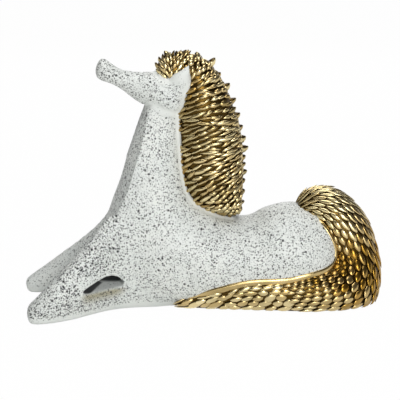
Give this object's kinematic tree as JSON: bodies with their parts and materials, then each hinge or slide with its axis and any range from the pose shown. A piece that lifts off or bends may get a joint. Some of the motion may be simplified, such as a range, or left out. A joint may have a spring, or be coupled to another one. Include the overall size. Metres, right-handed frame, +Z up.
{
  "type": "horse figurine",
  "caption": "Reclining horse ornament in speckled glazed ceramic with a raised head, folded forelegs, and a gilt mane, forelock and tail in overlapping locks.",
  "frame": {"origin": "on the table, on the flat foot of the forehand casting, under the girth and in the mid-plane of the trunk", "axes": "+Z up from the table, +X from the head towards the tail, -Y towards the near side, where the tail lies"},
  "size_m": [0.3581, 0.1285, 0.2542],
  "materials": {
    "glaze": "white gloss glaze with dark speckles",
    "gilt": "bright gold lustre over the glaze"
  },
  "bodies": {
    "root": {"forehand": "glaze", "hindquarters": "glaze", "head": "glaze", "near_ear": "glaze", "off_ear": "glaze", "near_foreleg": "glaze", "off_foreleg": "glaze", "mane": "gilt", "forelock": "gilt", "tail": "gilt"}
  },
  "joints": []
}
